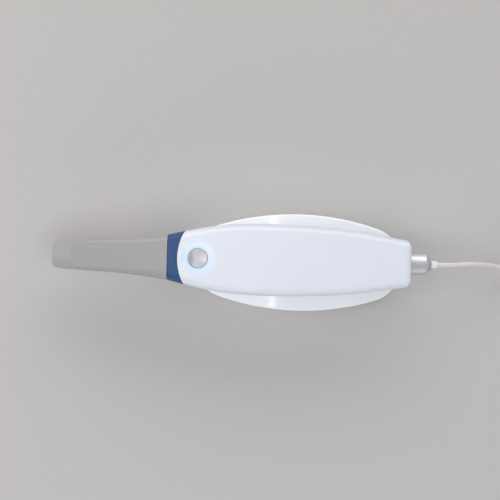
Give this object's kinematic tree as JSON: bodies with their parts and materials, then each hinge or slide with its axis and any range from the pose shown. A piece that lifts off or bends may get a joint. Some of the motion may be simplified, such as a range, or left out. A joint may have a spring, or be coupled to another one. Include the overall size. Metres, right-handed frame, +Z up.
{
  "type": "intraoral scanner",
  "caption": "Handheld intraoral scanner with removable mirror tip, round button in a light ring, rear cable with plug, lying in a leaf-shaped desk cradle.",
  "frame": {"origin": "middle of the cradle's underside, on the table", "axes": "+Z up, tip towards -X, cable towards +X, all in metres"},
  "size_m": [0.3503, 0.0642, 0.0433],
  "materials": {
    "tip_grey": "fine satin",
    "mirror": "polished",
    "snout_black": "matte",
    "window_glass": "clear",
    "collar_blue": "satin",
    "shell_white": "gloss",
    "barrel_black": "black anodised",
    "lens_glass": "coated",
    "engine_metal": "satin",
    "board_green": "satin",
    "chip_black": "matte",
    "chassis_metal": "satin",
    "screw_steel": "satin",
    "switch_metal": "satin",
    "led_white": "gloss",
    "ring_blue": "translucent, lit",
    "button_grey": "satin",
    "gland_metal": "fine turned",
    "ring_dark": "satin",
    "relief_white": "satin",
    "cable_grey": "satin",
    "tie_dark": "looped",
    "plug_white": "satin",
    "plug_metal": "satin",
    "tongue_black": "matte",
    "cradle_white": "gloss",
    "base_metal": "matt lacquer",
    "grip_grey": "matt",
    "pad_grey": "matt"
  },
  "bodies": {
    "handle": {"optical_snout": "snout_black", "snout_window": "window_glass", "front_collar": "collar_blue", "upper_shell": "shell_white", "lower_shell": "shell_white", "lens_barrel": "barrel_black", "front_lens": "lens_glass", "beam_prism": "lens_glass", "light_engine": "engine_metal", "sensor_board": "board_green", "image_sensor": "chip_black", "chassis_frame": "chassis_metal", "chassis_screws": "screw_steel", "main_board": "board_green", "processor": "chip_black", "board_screws": "screw_steel", "board_connector": "chip_black", "button_board": "board_green", "button_board_screws": "screw_steel", "press_switch": "switch_metal", "ring_leds": "led_white", "light_ring": "ring_blue", "cable_gland": "gland_metal", "gland_nut": "screw_steel", "gland_ring": "ring_dark", "strain_relief": "relief_white", "inner_lead": "cable_grey", "cable": "cable_grey", "cable_tail": "cable_grey", "cable_coil": "cable_grey", "coil_tie": "tie_dark", "plug_relief": "plug_white", "plug_body": "plug_white", "plug_shell": "plug_metal", "plug_tongue": "tongue_black", "cradle_shell": "cradle_white", "cradle_base": "base_metal", "cradle_screws": "screw_steel", "grip_sheet": "grip_grey", "cradle_pads": "pad_grey"},
    "tip": {"tip_shell": "tip_grey", "tip_mirror": "mirror"},
    "button": {"scan_button": "button_grey"}
  },
  "joints": [
    {"name": "tip_pull", "type": "slide", "parent": "handle", "child": "tip", "axis": [-1, 0, 0], "range_m": [0, 0.045]},
    {"name": "button_press", "type": "slide", "parent": "handle", "child": "button", "axis": [0.0802, 0, -0.9968], "range_m": [0, 0.0008], "stiffness_N_per_m": 600}
  ]
}
